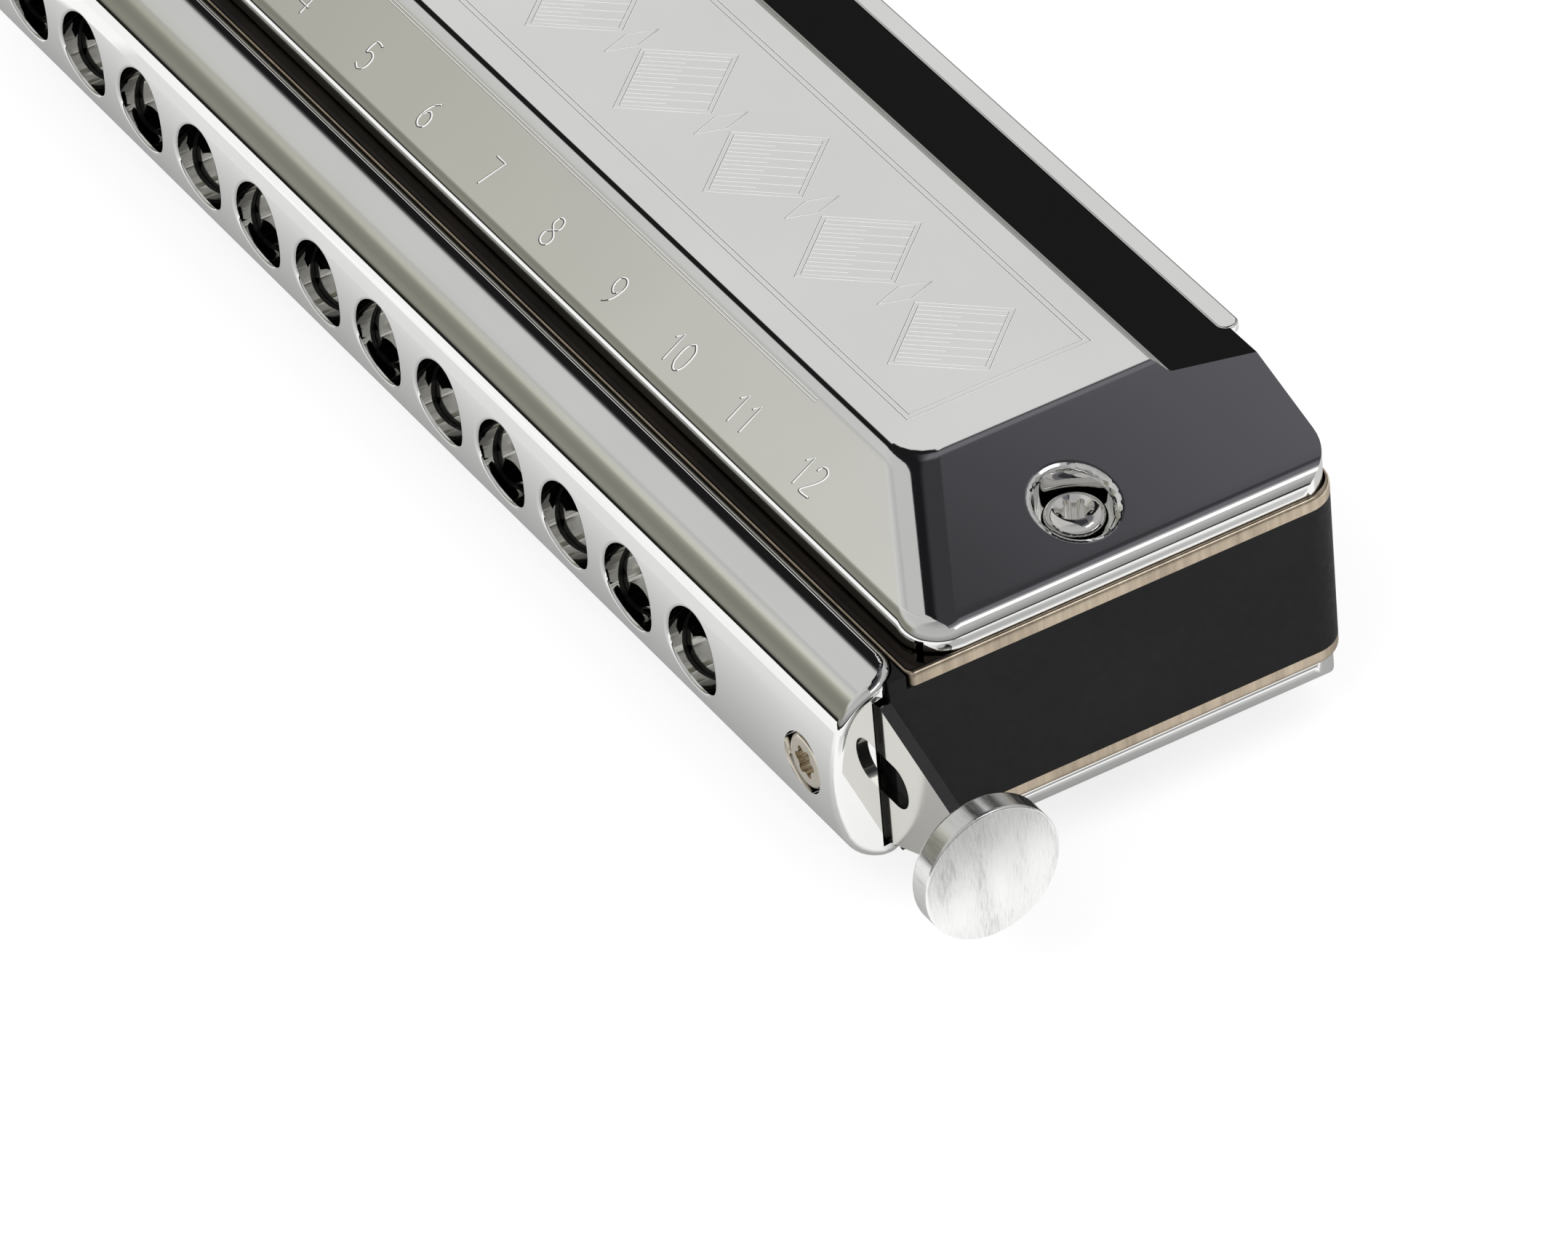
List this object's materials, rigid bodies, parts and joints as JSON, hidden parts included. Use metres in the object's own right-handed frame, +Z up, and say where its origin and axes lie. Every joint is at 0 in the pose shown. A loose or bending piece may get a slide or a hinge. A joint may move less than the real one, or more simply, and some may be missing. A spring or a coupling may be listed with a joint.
{
  "type": "chromatic harmonica",
  "caption": "Slide chromatic harmonica with a round-holed mouthpiece, sprung button slide, black comb, reed plates and bolted chrome covers.",
  "frame": {"origin": "middle of the flat raised panel of the bottom cover, on which the instrument rests", "axes": "+X along the row of holes, towards the slide's button; -Y towards the player; +Z up"},
  "size_m": [0.1579, 0.0466, 0.0284],
  "materials": {
    "chrome_mouthpiece": "mirror-bright chrome over brass",
    "chrome_cover": "mirror-bright chrome over pressed sheet",
    "screw_steel": "bright screw steel",
    "bolt_steel": "bright screw steel",
    "black_guide": "thin black plastic sheet",
    "slide_steel": "bright plated slide, cut edge brushed",
    "button_steel": "satin plated button",
    "channel_steel": "plated brass plate",
    "gasket_fibre": "thin soft gasket",
    "bumper_rubber": "soft black sleeve",
    "spring_steel": "drawn spring wire",
    "comb_plastic": "moulded black plastic, fine grain",
    "insert_brass": "turned brass",
    "plate_bronze": "brown-bronze reed plate, milled",
    "reed_brass": "ground brass",
    "rivet_brass": "headed brass",
    "valve_film": "thin cream film"
  },
  "bodies": {
    "instrument": {"mouthpiece": "chrome_mouthpiece", "mouthpiece_screws": "screw_steel", "slide_guide_plate": "black_guide", "slide_channel_plate": "channel_steel", "comb_gasket": "gasket_fibre", "slide_bumpers": "bumper_rubber", "slide_return_springs": "spring_steel", "comb": "comb_plastic", "comb_threaded_inserts": "insert_brass", "top_reed_plate": "plate_bronze", "bottom_reed_plate": "plate_bronze", "top_blow_reeds": "reed_brass", "bottom_blow_reeds": "reed_brass", "top_draw_reeds": "reed_brass", "bottom_draw_reeds": "reed_brass", "top_reed_rivets": "rivet_brass", "bottom_reed_rivets": "rivet_brass", "top_outer_valves": "valve_film", "bottom_outer_valves": "valve_film", "top_inner_valves": "valve_film", "bottom_inner_valves": "valve_film", "top_plate_screws": "screw_steel", "bottom_plate_screws": "screw_steel", "top_cover": "chrome_cover", "bottom_cover": "chrome_cover", "cover_bolts": "bolt_steel", "cover_nuts": "bolt_steel"},
    "slide": {"slide": "slide_steel", "slide_button": "button_steel"}
  },
  "joints": [
    {"name": "button_slide", "type": "slide", "parent": "instrument", "child": "slide", "axis": [-1, 0, 0], "range_m": [0, 0.00465], "stiffness_N_per_m": 250, "springref_m": -0.004, "deforming": ["slide_return_springs"]}
  ]
}
